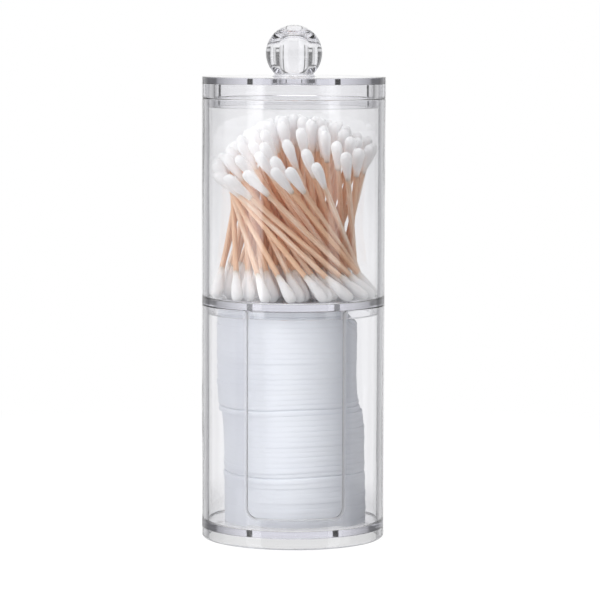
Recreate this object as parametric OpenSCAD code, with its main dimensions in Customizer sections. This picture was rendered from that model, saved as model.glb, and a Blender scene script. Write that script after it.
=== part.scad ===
// Two-tier clear canister for bathroom cotton: a slotted tube of round pads below,
// a cup of swabs above it, and a lid with a ball knob.
// Millimetres, +Z up, the front slot faces -Y, origin at the centre of the foot.

/* [Clear shells] */
// Outside diameter shared by the tube, the cup and the lid
outer_d = 73; // [66:0.5:90]
// Thickness of the upright walls
wall = 2.2; // [1.8:0.1:3]
// Thickness of the tube's floor and the cup's floor
floor_t = 2.5; // [2:0.1:4]
// Rounding of rims and outside edges
edge_r = 0.4; // [0.2:0.1:0.6]
// Fillet where a floor meets its wall on the inside
floor_fillet_r = 1; // [0.5:0.1:2]

/* [Plug rings] */
// How far the cup and the lid reach into the rim below
plug_depth = 3.6; // [2:0.1:6]
// Thickness of a plug ring
plug_wall = 2.6; // [1.2:0.1:3]
// Gap all round between a plug ring and the rim it sits in
plug_clearance = 0.2; // [0.1:0.05:0.4]

/* [Pad tube] */
// Height of the tube from foot to rim
tube_h = 93.6; // [80:0.2:120]
// Height of the foot ring below the floor
foot_h = 4.4; // [3:0.2:8]
// Rounding of the foot's outside edge
foot_edge_r = 1.2; // [0.6:0.1:1.3]
// Width of the dispensing slot
slot_w = 37; // [28:0.5:44]
// Height of the slot's lower edge above the floor
slot_sill = 5.1; // [3:0.1:20]
// Radius of the slot's lower corners
slot_corner_r = 4; // [2:0.5:8]
// Radius that opens the slot out at the rim
slot_flare_r = 2; // [1:0.5:4]

/* [Swab cup] */
// Height of the cup from the underside of its floor to its rim
cup_h = 81.9; // [78:0.2:100]

/* [Lid] */
// Height of the lid's skirt
lid_h = 8.5; // [7:0.1:12]
// Thickness of the lid's top plate
lid_top_t = 2.6; // [2:0.1:4]
// Diameter of the ball knob
knob_d = 22.4; // [18:0.2:28]
// Diameter of the neck under the ball
knob_neck_d = 15.8; // [12:0.2:17]
// Height of the neck between the lid and the ball
knob_neck_h = 1.3; // [1:0.1:3]
// Wall of the knob's neck round the moulded core that hollows it from below
knob_wall = 1.9; // [1.4:0.1:4]
// Thickness left above the end of the core
core_cap = 4.2; // [3:0.1:8]

/* [Cotton pads] */
// Thickness of one pressed pad
pad_t = 2.04; // [1.8:0.02:3]
// Room all round between a centred pad and the tube
pad_side_gap = 6; // [4:0.1:8]
// Rounding of a pad's rim
pad_edge_r = 0.8; // [0.4:0.1:0.85]
// Room left above the stack, under the cup's floor
stack_gap = 0.3; // [0.2:0.1:6]

/* [Cotton swabs] */
// Length of a swab over both tips
swab_l = 73; // [68:0.5:78]
// Diameter of the wooden stick
stick_d = 2.2; // [1.8:0.1:2.4]
// Largest diameter of a cotton tip
tip_d = 4.5; // [4:0.1:4.8]
// Length of a cotton tip
tip_l = 13.5; // [10:0.5:16]
// Full stretch of a tip before it tapers, from its rounded end
tip_belly = 3.6; // [2.6:0.1:5]
// Thickness of the cotton where a tip ends on the stick
tip_neck_wall = 0.25; // [0.15:0.05:0.4]
// Cotton beyond the end of the stick
tip_cap = 1.6; // [1:0.1:2]
// Half of the bundle's twist between its lower and upper ends, in degrees
swab_twist = 43; // [30:1:46]
// Extra twist at the front, taken off again at the back, in degrees
front_twist = 14; // [0:1:16]

/* [Hidden] */
$fn = 64;
shell_r = outer_d / 2;
bore_r = shell_r - wall;
plug_r = bore_r - plug_clearance;
plug_bore_r = plug_r - plug_wall;
tube_floor_z = foot_h + floor_t;
slot_z = tube_floor_z + slot_sill;
cup_z = tube_h;
cup_floor_z = cup_z + floor_t;
lid_z = cup_z + cup_h;
lid_top_z = lid_z + lid_h;
cut_over = 1;

// The ball stands on its neck: its centre is where a chord as wide as the neck meets the neck's top
knob_r = knob_d / 2;
knob_z = lid_top_z + knob_neck_h + sqrt(knob_r * knob_r - knob_neck_d * knob_neck_d / 4);
core_r = knob_neck_d / 2 - knob_wall;
core_end_z = knob_z + knob_r - core_cap;

// Pads lie in three handfuls, each pushed a little to its own side as it was dropped in
pad_r = bore_r - pad_side_gap;
stack_h = tube_h - stack_gap - tube_floor_z;
pad_count = floor(stack_h / pad_t);
handful_ends = [0.23, 0.53, 1];
handful_shifts = [[1, 0.2], [0.3, -0.6], [-2.2, 0.3]];
pad_stray = 0.25;
pad_stray_step = 137;

// Swabs stand on the floor in rings, and each leans along a line to the same ring higher up
tip_fit = 0.05;
tip_r = tip_d / 2;
tip_neck_r = stick_d / 2 + tip_neck_wall;
swab_wall_gap = 0.65;
swab_floor_gap = 0.15;
swab_gap = 0.1;
ring_gap = 0.5;
stagger = 0.5;
draws = 16;
place_jitter = 0.9;
twist_jitter = 5;
ring_jitter = 0.8;
noise_gain = 437.58;
noise_mix = [127.1, 311.7, 74.7];
swab_span = swab_l - tip_d;
swab_foot_z = cup_floor_z + swab_floor_gap + tip_r;
outer_ring_r = bore_r - tip_r - swab_wall_gap;
ring_pitch = tip_d + ring_gap;
ring_count = 1 + floor(outer_ring_r / ring_pitch);

function frac(v) = v - floor(v);
function noise(j, i, k) = frac(noise_gain * sin(noise_mix * [i + 1, j + 1, k]));
function ring_r(j) = outer_ring_r - j * ring_pitch;
function ring_places(j) = max(1, floor(2 * PI * ring_r(j) / (tip_d + swab_gap)));
function ring_point(r, a, z) = [r * cos(a), r * sin(a), z];

// One swab as the centres of its rounded lower and upper ends; each draw leans a little differently
function swab(j, i, draw) =
    let (a = 360 * (i + stagger * j + place_jitter * noise(j, i, 3 * draw)) / ring_places(j))
    let (stray = twist_jitter * (2 * noise(j, i, 3 * draw + 1) - 1))
    let (twist = swab_twist - front_twist * sin(a) + stray)
    let (r = max(0, ring_r(j) - ring_jitter * noise(j, i, 3 * draw + 2)))
    let (rise = sqrt(swab_span * swab_span - pow(2 * r * sin(twist), 2)))
    [ring_point(r, a + twist, swab_foot_z), ring_point(r, a - twist, swab_foot_z + rise)];

// Shortest way between two straight lines, each given by its ends
function clamp(t) = min(1, max(0, t));
function line_gap(p, q) =
    let (u = p[1] - p[0], v = q[1] - q[0], w = p[0] - q[0])
    let (den = (u * u) * (v * v) - (u * v) * (u * v))
    let (s = den == 0 ? 0 : clamp(((u * v) * (v * w) - (v * v) * (u * w)) / den))
    let (t = clamp(((u * v) * s + v * w) / (v * v)))
    let (s2 = clamp(((u * v) * t - u * w) / (u * u)))
    norm(p[0] + s2 * u - q[0] - t * v);

// Round-ended rods that hold a swab: the stick, and a thick and a thin stretch of each tip
thick_end = tip_belly + (tip_l - tip_belly) / 3 - tip_r;
thin_r = tip_r - (tip_r - tip_neck_r) / 3;
function stretch(from, to, reach) = [from, from + (to - from) * reach / swab_span];
function rods(s) = [
    [s, stick_d / 2],
    [stretch(s[0], s[1], thick_end), tip_r],
    [stretch(s[0], s[1], tip_l - tip_r), thin_r],
    [stretch(s[1], s[0], thick_end), tip_r],
    [stretch(s[1], s[0], tip_l - tip_r), thin_r]
];
function rods_clear(a, b) = line_gap(a[0], b[0]) >= a[1] + b[1] + swab_gap;
function rods_foul(a, b) = len([for (p = rods(a)) for (q = rods(b)) if (!rods_clear(p, q)) 1]) > 0;

// Most pairs stand too far apart, or cross too close, for their tips to matter
function swabs_clear(a, b) =
    let (gap = line_gap(a, b))
    gap >= tip_d + swab_gap || (gap >= stick_d + swab_gap && !rods_foul(a, b));

// Each place takes the first draw that fouls no swab already standing, or stays empty
function fits(s, standing) = len([for (other = standing) if (!swabs_clear(s, other)) 1]) == 0;
function try_place(place, draw, standing) =
    let (s = swab(place[0], place[1], draw))
    fits(s, standing) ? [s] : draw + 1 < draws ? try_place(place, draw + 1, standing) : [];
function stand(places, k, standing) =
    k == len(places) ? standing : stand(places, k + 1, concat(standing, try_place(places[k], 0, standing)));
function bundle() = stand([for (j = [0:ring_count - 1]) for (i = [0:ring_places(j) - 1]) [j, i]], 0, []);

function handful(k) = let (share = k / pad_count) share <= handful_ends[0] ? 0 : share <= handful_ends[1] ? 1 : 2;
function stray(k) = pad_stray * [sin(pad_stray_step * k), cos(pad_stray_step * k)];
function pad_shift(k) = handful_shifts[handful(k)] + stray(k);
function pad_name(k) = str("cotton_pad_", k < 10 ? "0" : "", k);

clear_colour = [0.9, 0.93, 0.96, 0.35];
cotton_colour = [0.95, 0.96, 0.97];
wood_colour = [0.84, 0.66, 0.48];

// Section of a bar between two radii and two heights, its four corners rounded one by one
module bar(r1, z1, r2, z2, inner_low, outer_low, inner_high, outer_high) {
    difference() {
        translate([r1, z1]) square([r2 - r1, z2 - z1]);
        corner_off(r1, z1, inner_low, 1, 1);
        corner_off(r2, z1, outer_low, -1, 1);
        corner_off(r1, z2, inner_high, 1, -1);
        corner_off(r2, z2, outer_high, -1, -1);
    }
}

// What a rounding takes off a corner; the signs point from the corner into the bar
module corner_off(r, z, radius, sr, sz) {
    if (radius > 0)
        translate([r, z]) mirror([sr < 0 ? 1 : 0, 0]) mirror([0, sz < 0 ? 1 : 0])
            difference() {
                translate([-cut_over, -cut_over]) square(radius + cut_over);
                translate([radius, radius]) circle(radius);
            }
}

// What a fillet adds in a corner; the signs point from the corner into the open
module corner_fill(r, z, radius, sr, sz) {
    translate([r, z]) mirror([sr < 0 ? 1 : 0, 0]) mirror([0, sz < 0 ? 1 : 0])
        difference() {
            square(radius);
            translate([radius, radius]) circle(radius);
        }
}

// Plug ring hanging from height z
module plug_section(z) {
    bar(plug_bore_r, z - plug_depth, plug_r, z + floor_t / 2, edge_r, edge_r, 0, 0);
}

// Floor disc with the fillet that runs round it on the inside
module floor_section(z) {
    translate([0, z]) square([bore_r + wall / 2, floor_t]);
    corner_fill(bore_r, z + floor_t, floor_fillet_r, -1, 1);
}

// Outline of the dispensing slot, seen from the front
module slot_outline() {
    difference() {
        translate([-slot_w / 2 - slot_flare_r, slot_z])
            square([slot_w + 2 * slot_flare_r, tube_h - slot_z + cut_over]);
        for (side = [-1, 1]) {
            translate([side * (slot_w + slot_flare_r) / 2, (slot_z + tube_h - slot_flare_r) / 2])
                square([slot_flare_r, tube_h - slot_flare_r - slot_z], center = true);
            translate([side * (slot_w / 2 + slot_flare_r), tube_h - slot_flare_r]) circle(slot_flare_r);
            corner_off(side * slot_w / 2, slot_z, slot_corner_r, -side, 1);
        }
    }
}

module pad_tube() {
    color(clear_colour)
        difference() {
            rotate_extrude() {
                bar(bore_r, 0, shell_r, tube_h, edge_r, foot_edge_r, edge_r, edge_r);
                floor_section(foot_h);
            }
            rotate([90, 0, 0]) linear_extrude(shell_r + cut_over) slot_outline();
        }
}

module swab_cup() {
    color(clear_colour)
        rotate_extrude() {
            bar(bore_r, cup_z, shell_r, lid_z, 0, edge_r, edge_r, edge_r);
            floor_section(cup_z);
            plug_section(cup_z);
        }
}

// Right half of the ball on its flared neck
module knob_section() {
    intersection() {
        translate([0, knob_z]) circle(knob_r);
        translate([0, lid_top_z]) square(knob_d + knob_neck_h);
    }
    translate([0, lid_top_z]) square([knob_neck_d / 2, knob_neck_h]);
    corner_fill(knob_neck_d / 2, lid_top_z, knob_neck_h, 1, 1);
}

module lid() {
    color(clear_colour)
        rotate_extrude()
            difference() {
                union() {
                    bar(plug_bore_r, lid_z, shell_r, lid_top_z, 0, edge_r, 0, edge_r);
                    translate([0, lid_top_z - lid_top_t]) square([plug_r, lid_top_t]);
                    plug_section(lid_z);
                    knob_section();
                }
                translate([0, lid_z]) square([core_r, core_end_z - lid_z]);
            }
}

// Carries a shape drawn upright from its lower end to where a swab stands
module on_swab(s) {
    lean = s[1] - s[0];
    translate(s[0])
        rotate([0, acos(lean[2] / swab_span), atan2(lean[1], lean[0])])
            translate([0, 0, -tip_r])
                children();
}

module swab_sticks() {
    color(wood_colour)
        for (s = bundle())
            on_swab(s) translate([0, 0, tip_cap]) cylinder(d = stick_d, h = swab_l - 2 * tip_cap);
}

// Wound cotton tip, its rounded end at the bottom, hollow where the stick goes in
module tip() {
    rotate_extrude()
        difference() {
            union() {
                intersection() {
                    translate([0, tip_r]) circle(tip_r);
                    square([tip_d, tip_r]);
                }
                polygon([[0, tip_r], [tip_r, tip_r], [tip_r, tip_belly], [tip_neck_r, tip_l], [0, tip_l]]);
            }
            translate([0, tip_cap - tip_fit]) square([stick_d / 2 + tip_fit, tip_l]);
        }
}

module swab_tips() {
    color(cotton_colour)
        for (s = bundle())
            on_swab(s) {
                tip();
                translate([0, 0, swab_l]) rotate([180, 0, 0]) tip();
            }
}

module cotton_pad(k) {
    shift = pad_shift(k);
    color(cotton_colour)
        translate([shift[0], shift[1], tube_floor_z + (k - 1) * pad_t])
            rotate_extrude() bar(0, 0, pad_r, pad_t, 0, pad_edge_r, 0, pad_edge_r);
}

pad_tube();
swab_cup();
lid();
swab_sticks();
swab_tips();
for (k = [1:pad_count]) cotton_pad(k);
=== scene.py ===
import math

import bmesh
import bpy
import numpy as np
from mathutils import Matrix, Vector


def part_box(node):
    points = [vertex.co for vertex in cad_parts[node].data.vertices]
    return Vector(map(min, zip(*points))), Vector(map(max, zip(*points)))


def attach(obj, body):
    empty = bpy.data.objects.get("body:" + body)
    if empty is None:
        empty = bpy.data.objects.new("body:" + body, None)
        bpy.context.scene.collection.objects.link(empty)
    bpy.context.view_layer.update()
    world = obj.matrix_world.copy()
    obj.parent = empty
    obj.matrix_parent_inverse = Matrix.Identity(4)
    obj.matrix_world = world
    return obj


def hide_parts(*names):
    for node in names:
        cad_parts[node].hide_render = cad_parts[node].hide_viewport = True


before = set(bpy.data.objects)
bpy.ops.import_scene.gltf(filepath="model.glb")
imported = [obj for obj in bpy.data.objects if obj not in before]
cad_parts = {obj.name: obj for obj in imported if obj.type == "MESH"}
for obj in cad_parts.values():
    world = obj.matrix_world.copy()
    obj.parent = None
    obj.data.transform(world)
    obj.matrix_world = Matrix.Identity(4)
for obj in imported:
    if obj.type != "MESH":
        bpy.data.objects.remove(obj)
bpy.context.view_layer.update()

MM = 0.001
SEED = 11
scene = bpy.context.scene
scene.view_settings.view_transform = "Standard"
scene.cycles.max_bounces = 40
scene.cycles.transmission_bounces = 24
scene.cycles.glossy_bounces = 12
scene.cycles.diffuse_bounces = 24

# Sizes of the clear shells, in millimetres and degrees; tier heights and outside radius are the frame's
WALL = 2.2
FLOOR = 2.5
EDGE = 0.4
FLOOR_FILLET = 1.0
INNER_FILLET = 0.3
PLUG_DEPTH = 3.6
PLUG_WALL = 2.6
PLUG_GAP = 0.2
FOOT_H = 4.4
FOOT_EDGE = 1.2
SLOT_W = 37.0
SLOT_SILL = 5.1
SLOT_CORNER = 4.0
SLOT_FLARE = 2.0
SLOT_EASE = 0.5
EASE_STEPS = 3
EASE_ANGLE = 50
LID_H = 8.5
LID_TOP = 2.6
KNOB_D = 22.4
NECK_D = 15.8
NECK_H = 1.3
KNOB_WALL = 1.9
CORE_CAP = 4.2
SHELL_SIDES = 192
BALL_STEPS = 64
ARC_STEPS = 5
GUARD = 0.05
MERGE = 0.001
CREASE = 35

# Sizes of the swabs in millimetres, with shares and noise for what varies among them; a tip's outline is
# (radius, distance from its round end)
TIP_L = 13.5
TIP_CAP = 1.6
STICK_R = 1.1
STICK_SIDES = 10
TIP_SIDES = 12
TIP_OUTLINE = [
    (0, 0), (0.95, 0.2), (1.65, 0.75), (2.1, 1.6), (2.3, 2.7), (2.3, 4.2),
    (2.1, 6.3), (1.75, 8.8), (1.42, 11.0), (1.22, 12.6), (1.12, TIP_L), (0, TIP_L),
]
SIZE_SPREAD = 0.06
LUMP_BASE = 0.6
TIP_LUMP_HEIGHT = 0.4
TIP_LUMP_SCALE = 700.0
SORT_DIGITS = 6

shell_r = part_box("pad_tube")[1][0] / MM
tube_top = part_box("pad_tube")[1][2] / MM
lid_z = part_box("swab_cup")[1][2] / MM
knob_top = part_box("lid")[1][2] / MM
bore_r = shell_r - WALL
plug_r = bore_r - PLUG_GAP
plug_bore_r = plug_r - PLUG_WALL
lid_top = lid_z + LID_H


# Node trees


def add(tree, kind, inputs=None, **settings):
    """New node; an input is given by name or number, as a value or as the socket that feeds it."""
    made = tree.nodes.new(kind)
    for key, value in settings.items():
        setattr(made, key, value)
    for key, value in (inputs or {}).items():
        if isinstance(value, bpy.types.NodeSocket):
            tree.links.new(value, made.inputs[key])
        else:
            made.inputs[key].default_value = value
    return made


def math_node(tree, operation, *values):
    return add(tree, "ShaderNodeMath", dict(enumerate(values)), operation=operation).outputs[0]


def spread(tree, value, low, high, to_low, to_high):
    """value from low..high to to_low..to_high, held inside them."""
    return add(tree, "ShaderNodeMapRange", {0: value, 1: low, 2: high, 3: to_low, 4: to_high}).outputs[0]


def mixed(tree, share, a, b):
    """Colour between a and b."""
    blend = add(tree, "ShaderNodeMix", {0: share, 6: a, 7: b}, data_type="RGBA")
    return blend.outputs[2]


def blend_value(tree, share, a, b):
    """Number between a and b."""
    return add(tree, "ShaderNodeMix", {0: share, 2: a, 3: b}, data_type="FLOAT").outputs[0]


def length_of(tree, a, b):
    """Length of the vector (a, b)."""
    square = math_node(tree, "ADD", math_node(tree, "MULTIPLY", a, a), math_node(tree, "MULTIPLY", b, b))
    return math_node(tree, "SQRT", square)


def scaled(tree, vector, scale):
    return add(tree, "ShaderNodeVectorMath", {0: vector, 1: scale}, operation="MULTIPLY").outputs[0]


def noise(tree, vector, scale, detail=2.0, roughness=0.5):
    inputs = {"Vector": vector, "Scale": scale, "Detail": detail, "Roughness": roughness}
    return add(tree, "ShaderNodeTexNoise", inputs).outputs[0]


def bump(tree, height, strength, distance):
    inputs = {"Height": height, "Strength": strength, "Distance": distance}
    return add(tree, "ShaderNodeBump", inputs).outputs[0]


def bare_tree(owner):
    """Emptied node tree of a material or the world."""
    owner.use_nodes = True
    owner.node_tree.nodes.clear()
    return owner.node_tree


def material(name):
    """New material with a shader to fill in: (material, tree, shader, object coordinates)."""
    made = bpy.data.materials.new(name)
    tree = bare_tree(made)
    shader = add(tree, "ShaderNodeBsdfPrincipled")
    add(tree, "ShaderNodeOutputMaterial", {"Surface": shader.outputs[0]})
    return made, tree, shader, add(tree, "ShaderNodeTexCoord").outputs["Object"]


def feed(tree, shader, name, socket):
    tree.links.new(socket, shader.inputs[name])


# Finishes; colours are in linear light, fibre and grain are noise as (scale, detail, roughness), and bumps
# are (strength, distance in metres)

MID_NOISE = (0.3, 0.7)

CLEAR = (0.965, 0.965, 0.975, 1)
CLEAR_IOR = 1.57
# The next five set painted shade on the clear walls: where the outer part of a wall is seen edge on, its
# base colour is painted dark grey
WALL_FACE = 0.3
PAINTED_EDGE_TURN = (0.59, 0.625)
PAINTED_EDGE_FADE = (0.63, 0.72)
PAINTED_EDGE_SHADE_DARK = (0.34, 0.34, 0.36, 1)
PAINTED_EDGE_SHADE_PALE = (0.46, 0.46, 0.48, 1)
DEPTH_COLOUR = (0.8, 0.8, 0.86, 1)
DEPTH_DENSITY = 20.0
POLISH_SCALE = 140.0
POLISH_PATCH = (0.4, 0.75)
POLISH_DULL = 0.035
CUT_ROUGHNESS = 0.55
RIPPLE_SCALE = 45.0
RIPPLE_UPRIGHT = (1, 1, 0.45)
RIPPLE_BUMP = (0.06, 0.002)

COTTON_SPECULAR = 0.2
PAD_SHADE = (0.66, 0.68, 0.74, 1)
PAD_WHITE = (0.72, 0.74, 0.785, 1)
PAD_PATCH_SCALE = 70.0
PAD_FIBRE = (900.0, 4.0, 0.7)
PAD_LAYERS = (1, 1, 3.5)
PAD_ROUGHNESS = (0.85, 1.0)
PAD_SHEEN = 0.25
PAD_BUMP = (0.35, 0.0004)

TIP_SHADE = (0.89, 0.91, 0.935, 1)
TIP_WHITE = (0.95, 0.96, 0.975, 1)
TIP_PATCH_SCALE = 160.0
TIP_THIN = (0.93, 0.71, 0.54, 1)
TIP_THIN_FROM = 0.66
TIP_THIN_SHARE = 0.85
TIP_FIBRE = (800.0, 3.0, 0.6)
TIP_WINDING = (1, 1, 2.6)
TIP_ROUGHNESS = (0.8, 1.0)
TIP_SCATTER = 0.006
TIP_SHEEN = 0.3
TIP_BUMP = (0.3, 0.0004)

BIRCH_TAN = (0.85, 0.52, 0.32, 1)
BIRCH_CREAM = (1.0, 0.91, 0.80, 1)
BIRCH_GRAIN = (0.78, 0.48, 0.30, 1)
GRAIN = (1500.0, 3.0, 0.6)
GRAIN_ALONG = (1, 1, 0.06)
GRAIN_PALE = (0.35, 0.7)
BIRCH_ROUGHNESS = (0.5, 0.7)
GRAIN_BUMP = (0.2, 0.0002)


def slot_edge(tree, x, y, z):
    """1 along the cut edge of the dispensing slot, 0 elsewhere."""
    corner = SLOT_CORNER * MM
    beside = math_node(tree, "SUBTRACT", math_node(tree, "ABSOLUTE", x), SLOT_W / 2 * MM - corner)
    below = math_node(tree, "SUBTRACT", (FOOT_H + FLOOR + SLOT_SILL) * MM + corner, z)
    past = length_of(tree, math_node(tree, "MAXIMUM", beside, 0.0), math_node(tree, "MAXIMUM", below, 0.0))
    apart = math_node(tree, "ABSOLUTE", math_node(tree, "SUBTRACT", past, corner))
    near = spread(tree, apart, SLOT_EASE * MM, 2 * SLOT_EASE * MM, 1.0, 0.0)
    front = math_node(tree, "LESS_THAN", y, 0.0)
    low = math_node(tree, "LESS_THAN", z, tube_top * MM)
    return math_node(tree, "MULTIPLY", near, math_node(tree, "MULTIPLY", front, low))


def clear_plastic():
    """Polished clear moulding with painted shade, grey where a wall is seen edge on; frosted at the slot,
    faintly rippled.
    """
    made, tree, shader, place = material("clear_plastic_polished")
    x, y, z = add(tree, "ShaderNodeSeparateXYZ", {0: place}).outputs
    inner = (bore_r + WALL_FACE * WALL) * MM
    outer = (shell_r - WALL_FACE * WALL) * MM
    outside = spread(tree, length_of(tree, x, y), inner, outer, 0.0, 1.0)
    facing = add(tree, "ShaderNodeLayerWeight", {"Blend": 0.5}).outputs["Facing"]
    cut = slot_edge(tree, x, y, z)
    uncut = math_node(tree, "MULTIPLY", outside, math_node(tree, "SUBTRACT", 1.0, cut))
    # Painted shade: the outer wall's base colour goes dark grey where it is seen edge on, standing in for
    # the dark studio it shows there
    edge = math_node(tree, "MULTIPLY", uncut, spread(tree, facing, *PAINTED_EDGE_TURN, 0.0, 1.0))
    painted_edge_colour = mixed(tree, spread(tree, facing, *PAINTED_EDGE_FADE, 0.0, 1.0), PAINTED_EDGE_SHADE_DARK, PAINTED_EDGE_SHADE_PALE)
    feed(tree, shader, "Base Color", mixed(tree, edge, CLEAR, painted_edge_colour))
    shader.inputs["Transmission Weight"].default_value = 1.0
    shader.inputs["IOR"].default_value = CLEAR_IOR
    polish = spread(tree, noise(tree, place, POLISH_SCALE), *POLISH_PATCH, 0.0, POLISH_DULL)
    feed(tree, shader, "Roughness", blend_value(tree, cut, polish, CUT_ROUGHNESS))
    ripple = noise(tree, scaled(tree, place, RIPPLE_UPRIGHT), RIPPLE_SCALE)
    feed(tree, shader, "Normal", bump(tree, ripple, *RIPPLE_BUMP))
    depth = add(tree, "ShaderNodeVolumeAbsorption", {"Color": DEPTH_COLOUR, "Density": DEPTH_DENSITY})
    feed(tree, tree.nodes["Material Output"], "Volume", depth.outputs[0])
    return made


def pressed_cotton():
    """Soft white fibre pressed in layers."""
    made, tree, shader, place = material("pressed_cotton_pads")
    fibre = noise(tree, scaled(tree, place, PAD_LAYERS), *PAD_FIBRE)
    patch = noise(tree, place, PAD_PATCH_SCALE)
    feed(tree, shader, "Base Color", mixed(tree, patch, PAD_SHADE, PAD_WHITE))
    feed(tree, shader, "Roughness", spread(tree, fibre, *MID_NOISE, *PAD_ROUGHNESS))
    shader.inputs["Specular IOR Level"].default_value = COTTON_SPECULAR
    shader.inputs["Sheen Weight"].default_value = PAD_SHEEN
    feed(tree, shader, "Normal", bump(tree, fibre, *PAD_BUMP))
    return made


def wound_cotton():
    """Cotton wound round a stick end; it thins out along the stick until the wood shows through."""
    made, tree, shader, place = material("wound_cotton_tips")
    along = add(tree, "ShaderNodeAttribute", attribute_name="form_place").outputs["Vector"]
    fibre = noise(tree, scaled(tree, along, TIP_WINDING), *TIP_FIBRE)
    white = mixed(tree, noise(tree, place, TIP_PATCH_SCALE), TIP_SHADE, TIP_WHITE)
    from_end = add(tree, "ShaderNodeSeparateXYZ", {0: along}).outputs[2]
    thin = spread(tree, from_end, TIP_THIN_FROM * TIP_L * MM, TIP_L * MM, 0.0, TIP_THIN_SHARE)
    feed(tree, shader, "Base Color", mixed(tree, thin, white, TIP_THIN))
    feed(tree, shader, "Roughness", spread(tree, fibre, *MID_NOISE, *TIP_ROUGHNESS))
    shader.inputs["Specular IOR Level"].default_value = COTTON_SPECULAR
    shader.inputs["Subsurface Weight"].default_value = 1.0
    shader.inputs["Subsurface Radius"].default_value = (1, 1, 1)
    shader.inputs["Subsurface Scale"].default_value = TIP_SCATTER
    shader.inputs["Sheen Weight"].default_value = TIP_SHEEN
    feed(tree, shader, "Normal", bump(tree, fibre, *TIP_BUMP))
    return made


def birch():
    """Plain birch stick with grain along it; each stick has a tone of its own."""
    made, tree, shader, _ = material("birch_sticks")
    along = add(tree, "ShaderNodeAttribute", attribute_name="form_place").outputs["Vector"]
    tone = add(tree, "ShaderNodeAttribute", attribute_name="tone").outputs["Fac"]
    apart = add(tree, "ShaderNodeCombineXYZ", {2: tone}).outputs[0]
    place = add(tree, "ShaderNodeVectorMath", {0: along, 1: apart}, operation="ADD").outputs[0]
    grain = noise(tree, scaled(tree, place, GRAIN_ALONG), *GRAIN)
    wood = mixed(tree, tone, BIRCH_TAN, BIRCH_CREAM)
    pale = spread(tree, grain, *GRAIN_PALE, 0.0, 1.0)
    feed(tree, shader, "Base Color", mixed(tree, pale, BIRCH_GRAIN, wood))
    feed(tree, shader, "Roughness", spread(tree, grain, *MID_NOISE, *BIRCH_ROUGHNESS))
    feed(tree, shader, "Normal", bump(tree, grain, *GRAIN_BUMP))
    return made


# Mesh making


def turned(corners):
    """Outline through (r, z, rounding) corners; guard points either side of an arc keep the flats flat."""
    points = []
    places = [Vector(c[:2]) for c in corners]
    for i, (here, corner) in enumerate(zip(places, corners)):
        if not corner[2]:
            points.append(here)
            continue
        to_back, to_next = places[i - 1] - here, places[i + 1] - here
        back, on = to_back.normalized(), to_next.normalized()
        half = back.angle(on) / 2
        reach = corner[2] / math.tan(half)
        centre = here + (back + on).normalized() * corner[2] / math.sin(half)
        if to_back.length > reach + 2 * GUARD:
            points.append(here + back * (reach + GUARD))
        start, end = here + back * reach - centre, here + on * reach - centre
        sweep = start.angle(end)
        for step in range(ARC_STEPS + 1):
            t = step / ARC_STEPS
            out = start * math.sin((1 - t) * sweep) + end * math.sin(t * sweep)
            points.append(centre + out / math.sin(sweep))
        if to_next.length > reach + 2 * GUARD:
            points.append(here + on * (reach + GUARD))
    return points


def outward(mesh):
    """Merges doubled points and turns all faces outwards."""
    shape = bmesh.new()
    shape.from_mesh(mesh)
    bmesh.ops.remove_doubles(shape, verts=shape.verts, dist=MERGE * MM)
    bmesh.ops.recalc_face_normals(shape, faces=shape.faces)
    shape.to_mesh(mesh)
    shape.free()


def skin(name, rows):
    """Closed mesh over rows of points; a row of one point is a pole."""
    starts = np.cumsum([0] + [len(row) for row in rows])
    count = max(len(row) for row in rows)
    faces = []
    for a, b, low, high in zip(starts, starts[1:], rows, rows[1:]):
        for i in range(count):
            j = (i + 1) % count
            ring = [a + i % len(low), a + j % len(low), b + j % len(high), b + i % len(high)]
            faces.append(list(dict.fromkeys(int(v) for v in ring)))
    mesh = bpy.data.meshes.new(name)
    mesh.from_pydata(np.concatenate(rows).tolist(), [], faces)
    outward(mesh)
    return mesh


def lathe(name, outline, sides):
    """Solid of revolution about Z from an outline in millimetres that starts and ends on the axis."""
    turn = np.linspace(0, 2 * math.pi, sides, endpoint=False)
    rows = []
    for r, z in outline:
        angles = turn if r > 0 else turn[:1]
        ring = [r * np.cos(angles), r * np.sin(angles), np.full(len(angles), z)]
        rows.append(MM * np.stack(ring, axis=1))
    return skin(name, rows)


def smooth(mesh):
    mesh.shade_smooth()
    mesh.set_sharp_from_angle(angle=math.radians(CREASE))


def place_piece(name, mesh, finish, body, nodes):
    """Piece that stands for CAD nodes, at the origin with its place in its mesh."""
    piece = bpy.data.objects.new(name, mesh)
    scene.collection.objects.link(piece)
    if finish.name not in mesh.materials:
        mesh.materials.append(finish)
    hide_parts(*nodes)
    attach(piece, body)
    return piece


def baked(source, name):
    """Mesh of an object with its modifiers in it."""
    graph = bpy.context.evaluated_depsgraph_get()
    mesh = bpy.data.meshes.new_from_object(source.evaluated_get(graph), depsgraph=graph)
    mesh.name = name
    return mesh


def plug(z):
    """Corners of a plug ring under height z, from the outside to the inside."""
    low = z - PLUG_DEPTH
    return [
        (plug_r, z, INNER_FILLET / 2),
        (plug_r, low, EDGE),
        (plug_bore_r, low, EDGE),
    ]


# Clear shells


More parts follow.
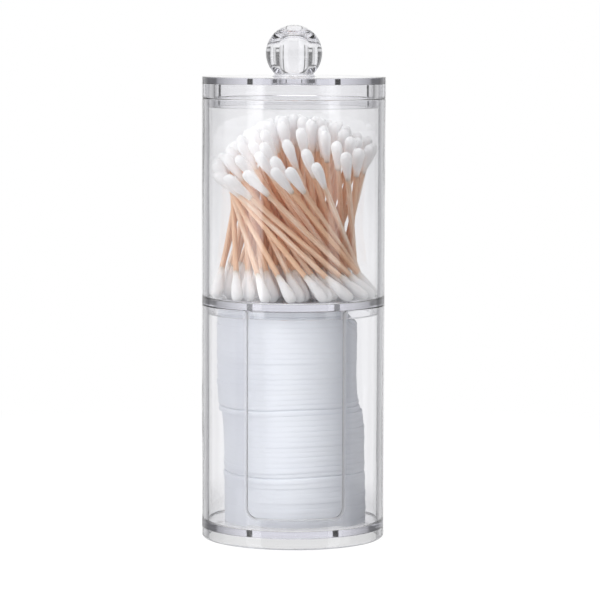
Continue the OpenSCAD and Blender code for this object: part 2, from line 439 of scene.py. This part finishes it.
def tube_mesh():
    """Pad tube: recessed floor, foot ring and the dispensing slot cut through the front wall."""
    floor_z = FOOT_H + FLOOR
    outline = turned([
        (0, floor_z, 0),
        (bore_r, floor_z, FLOOR_FILLET),
        (bore_r, tube_top, EDGE),
        (shell_r, tube_top, EDGE),
        (shell_r, 0, FOOT_EDGE),
        (bore_r, 0, EDGE),
        (bore_r, FOOT_H, INNER_FILLET),
        (0, FOOT_H, 0),
    ])
    wall = bpy.data.objects.new("tube_wall", lathe("tube_wall", outline, SHELL_SIDES))
    scene.collection.objects.link(wall)
    cutter = slot_cutter(floor_z + SLOT_SILL)
    cut = wall.modifiers.new("slot", "BOOLEAN")
    cut.operation = "DIFFERENCE"
    cut.solver = "EXACT"
    cut.object = cutter
    ease = wall.modifiers.new("ease", "BEVEL")
    ease.width = SLOT_EASE * MM
    ease.segments = EASE_STEPS
    ease.limit_method = "ANGLE"
    ease.angle_limit = math.radians(EASE_ANGLE)
    mesh = baked(wall, "tube")
    for used in (wall, cutter):
        bpy.data.objects.remove(used)
    return mesh


def slot_cutter(sill_z):
    """Upright block with the slot's outline, through the front wall only."""
    half = SLOT_W / 2
    over = 2 * SLOT_FLARE
    rim = tube_top + GUARD
    right = [
        (half, sill_z, SLOT_CORNER),
        (half, rim, SLOT_FLARE),
        (half + over, rim, 0),
        (half + over, rim + over, 0),
    ]
    left = [(-x, z, rounding) for x, z, rounding in reversed(right)]
    corners = [(0, sill_z, 0)] + right + left
    outline = turned(corners + corners[:1])[:-1]
    rows = [[(x * MM, y * MM, z * MM) for x, z in outline] for y in (-(shell_r + over), 0)]
    count = len(outline)
    faces = [list(range(count)), list(range(count, 2 * count))]
    faces += [[i, (i + 1) % count, (i + 1) % count + count, i + count] for i in range(count)]
    mesh = bpy.data.meshes.new("slot_cutter")
    mesh.from_pydata(rows[0] + rows[1], [], faces)
    outward(mesh)
    cutter = bpy.data.objects.new("slot_cutter", mesh)
    scene.collection.objects.link(cutter)
    return cutter


def cup_mesh():
    """Swab cup: a floor with a fillet round it, and a plug ring below."""
    floor_z = tube_top + FLOOR
    return lathe(
        "cup",
        turned([
            (0, floor_z, 0),
            (bore_r, floor_z, FLOOR_FILLET),
            (bore_r, lid_z, EDGE),
            (shell_r, lid_z, EDGE),
            (shell_r, tube_top, EDGE),
            *plug(tube_top),
            (plug_bore_r, tube_top, INNER_FILLET),
            (0, tube_top, 0),
        ]),
        SHELL_SIDES,
    )


def lid_mesh():
    """Lid: skirt, plug ring and a ball knob on a flared neck, cored from below."""
    ball_r = KNOB_D / 2
    ball_z = knob_top - ball_r
    neck_r = NECK_D / 2
    low = math.acos(-math.sqrt(1 - (neck_r / ball_r) ** 2))
    sweep = np.linspace(0, low, BALL_STEPS)
    ball = [(ball_r * math.sin(a), ball_z + ball_r * math.cos(a), 0) for a in sweep]
    under = lid_top - LID_TOP
    core_r = neck_r - KNOB_WALL
    core_end = knob_top - CORE_CAP
    return lathe(
        "lid_shell",
        turned(
            ball
            + [
                (neck_r, lid_top, NECK_H),
                (shell_r, lid_top, EDGE),
                (shell_r, lid_z, EDGE),
                *plug(lid_z),
                (plug_bore_r, under, INNER_FILLET),
                (core_r, under, INNER_FILLET),
                (core_r, core_end, EDGE),
                (0, core_end, 0),
            ]
        ),
        SHELL_SIDES,
    )


def make_shells():
    finish = clear_plastic()
    for name, mesh, body, node in (
        ("tube", tube_mesh(), "pad_tier", "pad_tube"),
        ("cup", cup_mesh(), "swab_tier", "swab_cup"),
        ("lid_shell", lid_mesh(), "lid_piece", "lid"),
    ):
        smooth(mesh)
        shell = place_piece(name, mesh, finish, body, [node])
        shell.visible_shadow = False


# Cotton swabs


def swab_lines():
    """Lower and upper end of each stick, from the loose pieces of the CAD sticks."""
    shape = bmesh.new()
    shape.from_mesh(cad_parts["swab_sticks"].data)
    bmesh.ops.remove_doubles(shape, verts=shape.verts, dist=MERGE * MM)
    waiting = set(shape.verts)
    lines = []
    while waiting:
        found = {waiting.pop()}
        edge = list(found)
        while edge:
            near = {e.other_vert(v) for v in edge for e in v.link_edges} - found
            found |= near
            edge = list(near)
        waiting -= found
        points = np.array(sorted(v.co[:] for v in found))
        top = points[:, 2] > points[:, 2].mean()
        lines.append((points[~top].mean(axis=0), points[top].mean(axis=0)))
    shape.free()
    return sorted(lines, key=lambda ends: tuple(np.round(ends[0], SORT_DIGITS)))


def scatter_tree():
    """Sets a form on each point along the point's lean, turned and toned at random, with soft lumps."""
    tree = bpy.data.node_groups.new("stand_on_points", "GeometryNodeTree")
    face = tree.interface
    for name, kind in (
        ("Points", "NodeSocketGeometry"),
        ("Form", "NodeSocketObject"),
        ("Finish", "NodeSocketMaterial"),
        ("Seed", "NodeSocketInt"),
        ("Size Spread", "NodeSocketFloat"),
        ("Lump Height", "NodeSocketFloat"),
        ("Lump Scale", "NodeSocketFloat"),
    ):
        face.new_socket(name=name, in_out="INPUT", socket_type=kind)
    face.new_socket(name="Mesh", in_out="OUTPUT", socket_type="NodeSocketGeometry")
    given = add(tree, "NodeGroupInput").outputs
    lean = add(tree, "GeometryNodeInputNamedAttribute", {0: "lean"}, data_type="FLOAT_VECTOR").outputs[0]
    upright = add(tree, "FunctionNodeAlignRotationToVector", {"Vector": lean}, axis="Z").outputs[0]
    turn = add(tree, "FunctionNodeRandomValue", {"Seed": given["Seed"]}, data_type="FLOAT")
    turn.inputs[3].default_value = 2 * math.pi
    about = {"Axis": (0, 0, 1), "Angle": turn.outputs[1]}
    spin = add(tree, "FunctionNodeAxisAngleToRotation", about).outputs[0]
    turned_up = {0: upright, 1: spin}
    stand = add(tree, "FunctionNodeRotateRotation", turned_up, rotation_space="LOCAL").outputs[0]
    least = math_node(tree, "SUBTRACT", 1.0, given["Size Spread"])
    size = add(tree, "FunctionNodeRandomValue", {"Seed": given["Seed"]}, data_type="FLOAT")
    tree.links.new(least, size.inputs[2])
    form = add(tree, "GeometryNodeObjectInfo", {"Object": given["Form"]}).outputs["Geometry"]
    scale = add(tree, "ShaderNodeCombineXYZ", {0: size.outputs[1], 1: size.outputs[1], 2: 1.0}).outputs[0]
    on = add(
        tree,
        "GeometryNodeInstanceOnPoints",
        {"Points": given["Points"], "Instance": form, "Rotation": stand, "Scale": scale},
    ).outputs[0]
    tone = add(tree, "FunctionNodeRandomValue", {"Seed": given["Seed"]}, data_type="FLOAT").outputs[1]
    toned = add(
        tree,
        "GeometryNodeStoreNamedAttribute",
        {"Geometry": on, "Name": "tone", "Value": tone},
        data_type="FLOAT",
        domain="INSTANCE",
    ).outputs[0]
    real = add(tree, "GeometryNodeRealizeInstances", {0: toned}).outputs[0]
    lump = add(tree, "ShaderNodeTexNoise", {"Scale": given["Lump Scale"], "Detail": 1.0}).outputs[0]
    rise = math_node(tree, "MULTIPLY", math_node(tree, "SUBTRACT", lump, LUMP_BASE), given["Lump Height"])
    out = add(tree, "GeometryNodeInputNormal").outputs[0]
    shift = add(tree, "ShaderNodeVectorMath", {0: out, "Scale": rise}, operation="SCALE").outputs[0]
    moved = add(tree, "GeometryNodeSetPosition", {"Geometry": real, "Offset": shift}).outputs[0]
    done = add(tree, "GeometryNodeSetMaterial", {"Geometry": moved, "Material": given["Finish"]}).outputs[0]
    add(tree, "NodeGroupOutput", {0: done})
    return tree


def standing(name, tree, points, leans, form, finish, node, inputs):
    """One mesh of a form set on points by the scatter tree, in place of a CAD node."""
    mesh = bpy.data.meshes.new(name + "_points")
    mesh.from_pydata([tuple(p) for p in points], [], [])
    lean = mesh.attributes.new("lean", "FLOAT_VECTOR", "POINT")
    lean.data.foreach_set("vector", np.ravel(leans))
    places = form.attributes.new("form_place", "FLOAT_VECTOR", "POINT")
    places.data.foreach_set("vector", np.ravel([v.co[:] for v in form.vertices]))
    smooth(form)
    source = bpy.data.objects.new(name + "_points", mesh)
    pattern = bpy.data.objects.new(name + "_form", form)
    for made in (source, pattern):
        scene.collection.objects.link(made)
    maker = source.modifiers.new("stand", "NODES")
    maker.node_group = tree
    given = {"Form": pattern, "Finish": finish, "Seed": SEED, **inputs}
    for item in tree.interface.items_tree:
        if item.in_out == "INPUT" and item.name in given:
            maker[item.identifier] = given[item.name]
    bpy.context.view_layer.update()
    result = baked(source, name)
    for used in (source, pattern):
        bpy.data.objects.remove(used)
    return place_piece(name, result, finish, "swab_tier", [node])


def make_swabs():
    lines = swab_lines()
    tree = scatter_tree()
    length = float(np.linalg.norm(lines[0][1] - lines[0][0])) / MM
    middles, leans, ends, inward = [], [], [], []
    for low, high in lines:
        lean = (high - low) / np.linalg.norm(high - low)
        middles.append((low + high) / 2)
        leans.append(lean)
        ends += [low - lean * TIP_CAP * MM, high + lean * TIP_CAP * MM]
        inward += [lean, -lean]
    half = length / 2
    stick_outline = [(0, -half), (STICK_R, -half), (STICK_R, 0), (STICK_R, half), (0, half)]
    stick = lathe("stick_form", stick_outline, STICK_SIDES)
    tip = lathe("tip_form", TIP_OUTLINE, TIP_SIDES)
    even = {"Size Spread": SIZE_SPREAD, "Lump Height": 0.0, "Lump Scale": 1.0}
    lumpy = {"Size Spread": SIZE_SPREAD, "Lump Height": TIP_LUMP_HEIGHT * MM, "Lump Scale": TIP_LUMP_SCALE}
    standing("sticks", tree, middles, leans, stick, birch(), "swab_sticks", even)
    standing("tips", tree, ends, inward, tip, wound_cotton(), "swab_tips", lumpy)


# Cotton pads; lengths are in millimetres, angles in radians, and shares are of the way out from the middle

PAD_SIDES = 120
PAD_GAP = 0.008
FLAT_ROWS = (0.4, 0.75, 0.93)
RIM_ROWS = 9
RIM_IN = 0.35
RIM_STRAY = 0.12
RIM_WAVE = 0.16
RIM_WAVE_DRIFT = 0.06
HANDFUL_ENDS = (10, 23)
DRIFT_PADS = 4.0
OWN_SHARE = 0.25
GROOVE = 0.13
GROOVE_LEFT = 0.15
GROOVE_MEAN = 0.5
GROOVE_SWING = 0.9
GROOVE_TURN = 0.1
GROOVE_CURVE = 2.5
BREAK_GROOVE = 0.5
SEAM_SPREAD = (0.5, 1.3)
LOW_SEAMS = 0.5
WAVES = 4
FIRST_WAVE = 2
WAVE = 0.6
WAVE_CALM = 0.3
WAVE_SINK = 0.4
WAVE_DRIFT = 0.05
FIRM_PADS = 4
DROOP = 6.2
DROOP_PADS = 16
DROOP_FROM = 0.7
DROOP_CURVE = 1.3
DROOP_NARROW = 4


def make_pads():
    """Stack of pressed pads: neighbours share a waved face, and the rims pull in between them."""
    names = sorted(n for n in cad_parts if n.startswith("cotton_pad_"))
    finish = pressed_cotton()
    random = np.random.default_rng(SEED)
    turn = np.linspace(0, 2 * math.pi, PAD_SIDES, endpoint=False)
    boxes = [np.array([list(c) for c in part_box(n)]) / MM for n in names]
    count = len(names)
    order = np.arange(count)
    near = np.exp(-((order[:, None] - order[None, :]) / DRIFT_PADS) ** 2)
    near /= near.sum(axis=1, keepdims=True)

    def eased(rows):
        """Each pad's row with those of its neighbours mixed in."""
        return OWN_SHARE * rows + (1 - OWN_SHARE) * (near @ rows)

    centres = eased(np.array([b.mean(axis=0) for b in boxes]))
    breaks = set(HANDFUL_ENDS)
    loose = breaks | {count - 1}
    to_right = np.clip(GROOVE_MEAN + GROOVE_SWING * np.cos(turn + GROOVE_TURN), 0, 1)
    pressed = GROOVE_LEFT + (1 - GROOVE_LEFT) * to_right
    to_corner = np.clip(1 - DROOP_NARROW * (1 - np.cos(turn)), 0, 1)
    wave_phase = random.uniform(0, 2 * math.pi, WAVES)
    seam = random.uniform(*SEAM_SPREAD, count + 1)
    seam[: HANDFUL_ENDS[0]] *= LOW_SEAMS
    rim_phase = random.uniform(0, 2 * math.pi, (len(breaks) + 1, WAVES))
    handful = np.searchsorted(HANDFUL_ENDS, order, side="right")

    def rim_shape(k):
        phase = rim_phase[handful[k]] + RIM_WAVE_DRIFT * k
        return sum(RIM_WAVE * np.cos((m + FIRST_WAVE) * turn + phase[m]) for m in range(WAVES))

    shapes = eased(np.stack([rim_shape(k) for k in order]))

    def face_z(k, share):
        """Height of the face under pad k, at a share of the way out."""
        base = boxes[k][0][2] if k < count else boxes[-1][1][2]
        close = sum(math.exp(-(((k - b - 1) / DRIFT_PADS) ** 2)) for b in breaks)
        soft = WAVE * min(1.0, k / FIRM_PADS)
        height = soft * (WAVE_CALM + (1 - WAVE_CALM) * close)
        phase = wave_phase + WAVE_DRIFT * k
        wave = sum(np.cos((m + FIRST_WAVE) * turn + phase[m]) / (m + 1) for m in range(WAVES))
        late = max(0.0, (k - count + DROOP_PADS) / DROOP_PADS) ** 2
        out = max(0.0, (share - DROOP_FROM) / (1 - DROOP_FROM)) ** DROOP_CURVE
        return base + height * share**2 * wave / 2 - DROOP * late * out * to_corner - WAVE_SINK * soft

    def groove(k):
        """Depth to which the rims pull in under pad k."""
        return BREAK_GROOVE if k in loose else GROOVE * seam[k] * pressed

    def pad_rows(k, rim):
        """Rows of points over pad k, from the middle of its lower face to the middle of its upper one."""

        def ring(share, z):
            out = share * rim
            return [out * np.cos(turn) + centres[k][0], out * np.sin(turn) + centres[k][1], z]

        def flat(side, gap, shares):
            return [ring(share, face_z(k + side, share) + gap) for share in shares]

        def pole(side):
            return [np.array([v]) for v in (*centres[k][:2], float(face_z(k + side, 0.0).mean()))]

        rows = [pole(0)] + flat(0, PAD_GAP, FLAT_ROWS)
        for f in np.linspace(0, 1, RIM_ROWS):
            pull = groove(k if f < 0.5 else k + 1) * abs(2 * f - 1) ** GROOVE_CURVE
            z = (1 - f) * (face_z(k, 1.0) + PAD_GAP) + f * (face_z(k + 1, 1.0) - PAD_GAP)
            rows.append(ring((rim - pull) / rim, z))
        return rows + flat(1, -PAD_GAP, FLAT_ROWS[::-1]) + [pole(1)]

    for k, name in enumerate(names):
        radius = (boxes[k][1][0] - boxes[k][0][0]) / 2
        rim = radius - RIM_IN + shapes[k] + random.uniform(-RIM_STRAY, RIM_STRAY)
        soft_name = f"soft_pad_{k + 1:02d}"
        mesh = skin(soft_name, [MM * np.stack(row, axis=1) for row in pad_rows(k, rim)])
        smooth(mesh)
        pad = place_piece(soft_name, mesh, finish, "pad_tier", [name])


# Camera and floor; lengths are in metres, the lens and sensor in millimetres, angles in degrees

CAMERA_AWAY = 1.228
CAMERA_Z = 0.2095
CAMERA_PITCH = 5.33
CAMERA_ROLL = 0.18
CAMERA_TURN = -1.8
CAMERA_LENS = 185.3
CAMERA_SENSOR = 36
CAMERA_SHIFT = 0.0112
CAMERA_REACH = 50
FLOOR_R = 0.5
FLOOR_SIDES = 96
FLOOR_DROP = 0.0002
FLOOR_COLOUR = (0.8, 0.8, 0.8, 1)
FLOOR_FAINT = (0.22, 0.22, 0.22, 1)
FLOOR_GLOW = 0.84
FLOOR_FADE = (0.1, 0.4)
# Painted shadow: glow of the floor under the object as clear plastic shows it, dimmer than white
FLOOR_PAINTED_SHADOW = 0.8
FLOOR_RIM = 0.95


def make_camera():
    lens = bpy.data.cameras.new("photo_camera")
    lens.sensor_width = CAMERA_SENSOR
    lens.lens = CAMERA_LENS
    lens.shift_x = CAMERA_SHIFT
    lens.clip_end = CAMERA_REACH
    camera = bpy.data.objects.new("photo_camera", lens)
    pitch = Matrix.Rotation(math.radians(90 - CAMERA_PITCH), 4, "X")
    roll = Matrix.Rotation(math.radians(CAMERA_ROLL), 4, "Z")
    turn = Matrix.Rotation(math.radians(CAMERA_TURN), 4, "Z")
    camera.matrix_world = turn @ Matrix.Translation((0, -CAMERA_AWAY, CAMERA_Z)) @ (pitch @ roll)
    scene.collection.objects.link(camera)
    scene.camera = camera


def seen_rays(tree):
    """1 for rays that see the stage directly, or through or off something clear, with the light path."""
    path = add(tree, "ShaderNodeLightPath").outputs
    shiny = math_node(tree, "MAXIMUM", path["Is Glossy Ray"], path["Is Transmission Ray"])
    return math_node(tree, "MAXIMUM", path["Is Camera Ray"], shiny), path


def make_floor():
    """White floor with the object's shadow; under the object, what clear plastic shows of it glows dimmer
    as a painted shadow, and past it is left to the studio.
    """
    mesh = bpy.data.meshes.new("floor")
    turn = np.linspace(0, 2 * math.pi, FLOOR_SIDES, endpoint=False)
    rim = [(FLOOR_R * math.cos(a), FLOOR_R * math.sin(a), -FLOOR_DROP) for a in turn]
    mesh.from_pydata(rim, [], [list(range(FLOOR_SIDES))])
    made = bpy.data.materials.new("white_floor")
    tree = bare_tree(made)
    seen, path = seen_rays(tree)
    place = add(tree, "ShaderNodeTexCoord").outputs["Object"]
    away = add(tree, "ShaderNodeVectorMath", {0: place}, operation="LENGTH").outputs[1]

    def glowing(strength):
        return add(tree, "ShaderNodeEmission", {"Strength": strength}).outputs[0]

    def either(share, a, b):
        return add(tree, "ShaderNodeMixShader", {0: share, 1: a, 2: b}).outputs[0]

    plain = add(tree, "ShaderNodeBsdfDiffuse", {"Color": FLOOR_COLOUR}).outputs[0]
    faint = add(tree, "ShaderNodeBsdfDiffuse", {"Color": FLOOR_FAINT}).outputs[0]
    clear = add(tree, "ShaderNodeBsdfTransparent").outputs[0]
    # Painted shadow: under the object the floor that clear plastic shows glows dimmer; past the object's
    # rim it is clear
    outside = spread(tree, away, FLOOR_RIM * shell_r * MM, shell_r * MM, 0.0, 1.0)
    through = either(outside, glowing(FLOOR_PAINTED_SHADOW), clear)
    near = add(tree, "ShaderNodeAddShader", {0: faint, 1: glowing(FLOOR_GLOW)}).outputs[0]
    lit = either(spread(tree, away, *FLOOR_FADE, 0.0, 1.0), near, glowing(1.0))
    surface = either(seen, plain, either(path["Is Camera Ray"], through, lit))
    add(tree, "ShaderNodeOutputMaterial", {"Surface": surface})
    made.cycles.emission_sampling = "NONE"
    mesh.materials.append(made)
    floor = bpy.data.objects.new("floor", mesh)
    scene.collection.objects.link(floor)


# Studio as the clear plastic shows it. Bearings are in degrees from straight behind the object, heights are
# the sine of the elevation, and a pair gives where a slope starts and ends. Left is the camera's left.

PANEL_HALF = 19.0
PANEL_EDGE = 0.6
PANEL_GAP = 3.8
GAP_LEVEL = 0.02
GAP_HAZE = 0.3
HAZE_FROM = (0.05, 0.07)
HAZE_TO = (0.12, 0.14)
CARD_END = 46.0
CARD_NEAR = 0.95
CARD_FAR = 0.5
OPEN_START = 54.0
OPEN_LEVEL = 0.85
SIDE_END = 100.0
SIDE_LEVEL = 0.2
SIDE_HIGH = (-0.08, -0.04)
SIDE_LOW = (-0.158, -0.15)
FRONT_HIGH = (-0.17, -0.12)
LEFT_START = 80.0
LEFT_END = 142.0
LEFT_SHARE = 0.6
STRIP_END = 92.0
STRIP_FADE = 120.0
STRIP_GLOW = 0.85
STRIP_TOP = 0.15
STRIP_LOW = (-0.12, -0.095)
STRIP_HIGH = (-0.07, -0.045)
TOP_EDGE = (0.44, 0.46)
TOP_LEVEL = 0.15
SKY = (0.5, 0.58)
FRONT_SKY = (0.2, 0.35)
STEEP = (-0.23, -0.19)
AMBIENT_LEFT = 0.95
AMBIENT_RIGHT = 0.6
AMBIENT_BACK = 0.7


def backdrop(tree, off, z):
    """Brightness behind: a white panel, a dark gap each side of it, a card that fades, then open space."""
    near = math.radians(PANEL_HALF)
    far = math.radians(PANEL_HALF + PANEL_GAP)
    soft = math.radians(PANEL_EDGE)
    end = math.radians(CARD_END)
    height = math_node(tree, "ABSOLUTE", z)
    hazy = spread(tree, height, *HAZE_FROM, GAP_LEVEL, GAP_HAZE)
    gap = math_node(tree, "MINIMUM", hazy, spread(tree, height, *HAZE_TO, GAP_HAZE, GAP_LEVEL))
    panel = blend_value(tree, spread(tree, off, near, near + soft, 1.0, 0.0), gap, 1.0)
    shade = spread(tree, off, far, end, CARD_NEAR, CARD_FAR)
    card = math_node(tree, "MULTIPLY", spread(tree, off, far - soft, far, 0.0, 1.0), shade)
    space = spread(tree, off, end, math.radians(OPEN_START), 0.0, OPEN_LEVEL)
    return math_node(tree, "MAXIMUM", math_node(tree, "MAXIMUM", panel, card), space)


def panel_ring(tree, bearing, z, sky):
    """Brightness by direction: backdrop, dim sides and front, pale panel and strip light at the left."""
    off = math_node(tree, "ABSOLUTE", bearing)
    soft = math.radians(PANEL_GAP)
    side_end = math.radians(SIDE_END)
    card_end = math.radians(CARD_END)
    left_start = -math.radians(LEFT_START)
    left_end = -math.radians(LEFT_END)
    in_front = spread(tree, off, side_end, side_end + soft, 0.0, 1.0)
    beside = spread(tree, off, card_end, card_end + soft, 0.0, 1.0)
    side_high = spread(tree, z, *SIDE_HIGH, 0.0, 1.0)
    side_low = spread(tree, z, *SIDE_LOW, 1.0, 0.0)
    front_high = spread(tree, z, *FRONT_HIGH, 0.0, 1.0)
    dim_height = blend_value(tree, in_front, math_node(tree, "MAXIMUM", side_high, side_low), front_high)
    left = math_node(
        tree,
        "MULTIPLY",
        spread(tree, bearing, left_end, left_end + soft, 0.0, LEFT_SHARE),
        spread(tree, bearing, left_start - soft, left_start, 1.0, 0.0),
    )
    dim = math_node(tree, "MULTIPLY", math_node(tree, "SUBTRACT", beside, left), dim_height)
    dim = math_node(tree, "MAXIMUM", dim, 0.0)
    ring = blend_value(tree, dim, backdrop(tree, off, z), SIDE_LEVEL)
    edged = blend_value(tree, spread(tree, z, *TOP_EDGE, 0.0, 1.0), ring, TOP_LEVEL)
    back_sky = spread(tree, z, *SKY, 0.0, 1.0)
    front_sky = spread(tree, z, *FRONT_SKY, 0.0, 1.0)
    above = blend_value(tree, blend_value(tree, in_front, back_sky, front_sky), edged, sky)
    strip = math_node(
        tree,
        "MULTIPLY",
        spread(tree, bearing, left_end, left_end + soft, 0.0, STRIP_GLOW),
        spread(tree, bearing, -math.radians(STRIP_FADE), -math.radians(STRIP_END), 1.0, 0.0),
    )
    strip = math_node(tree, "MULTIPLY", strip, spread(tree, z, *STRIP_LOW, 0.0, 1.0))
    strip = math_node(tree, "MULTIPLY", strip, spread(tree, z, *STRIP_HIGH, 1.0, STRIP_TOP))
    lit = math_node(tree, "MAXIMUM", above, spread(tree, z, *STEEP, 1.0, 0.0))
    return math_node(tree, "ADD", lit, strip)


def make_world():
    """White seen directly, a ring of panels in what clear plastic shows, and even light for the rest."""
    world = bpy.data.worlds.new("studio")
    scene.world = world
    tree = bare_tree(world)
    seen, path = seen_rays(tree)
    way = add(tree, "ShaderNodeTexCoord").outputs["Generated"]
    x, y, z = add(tree, "ShaderNodeSeparateXYZ", {0: way}).outputs
    bearing = math_node(tree, "ADD", math_node(tree, "ARCTAN2", x, y), math.radians(CAMERA_TURN))
    across = spread(tree, x, -1.0, 1.0, AMBIENT_LEFT, AMBIENT_RIGHT)
    even = math_node(tree, "ADD", across, spread(tree, y, 0.0, 1.0, 0.0, AMBIENT_BACK))
    panels = panel_ring(tree, bearing, z, across)
    around = math_node(tree, "MAXIMUM", panels, path["Is Camera Ray"])
    strength = blend_value(tree, seen, even, around)
    sky = add(tree, "ShaderNodeBackground", {"Color": (1, 1, 1, 1), "Strength": strength}).outputs[0]
    add(tree, "ShaderNodeOutputWorld", {"Surface": sky})


# Lights; lengths are in metres, powers in watts

AIM_Z = 0.1


def softbox(name, bearing, height, away, size, power, mirrored=True):
    """Soft light aimed at the object; the bearing is in degrees from the camera's side, to its right."""
    light = bpy.data.lights.new(name, "AREA")
    light.shape = "RECTANGLE"
    light.size, light.size_y = size
    light.energy = power
    lamp = bpy.data.objects.new(name, light)
    turn = math.radians(bearing)
    lamp.location = (away * math.sin(turn), -away * math.cos(turn), height)
    aim = Vector((0, 0, AIM_Z)) - lamp.location
    lamp.rotation_euler = aim.to_track_quat("-Z", "Y").to_euler()
    lamp.visible_camera = False
    lamp.visible_glossy = mirrored
    lamp.visible_transmission = mirrored
    scene.collection.objects.link(lamp)


def make_lights():
    softbox("key", bearing=-51, height=0.30, away=0.9, size=(0.34, 0.95), power=1.0)
    softbox("fill", bearing=50, height=0.25, away=1.1, size=(0.3, 0.9), power=0.8)
    softbox("top", bearing=-10, height=1.1, away=0.35, size=(0.6, 0.6), power=2.2)
    softbox("side", bearing=-60, height=0.5, away=1.3, size=(1.2, 1.2), power=9.8, mirrored=False)


make_camera()
make_shells()
make_swabs()
make_pads()
make_floor()
make_world()
make_lights()
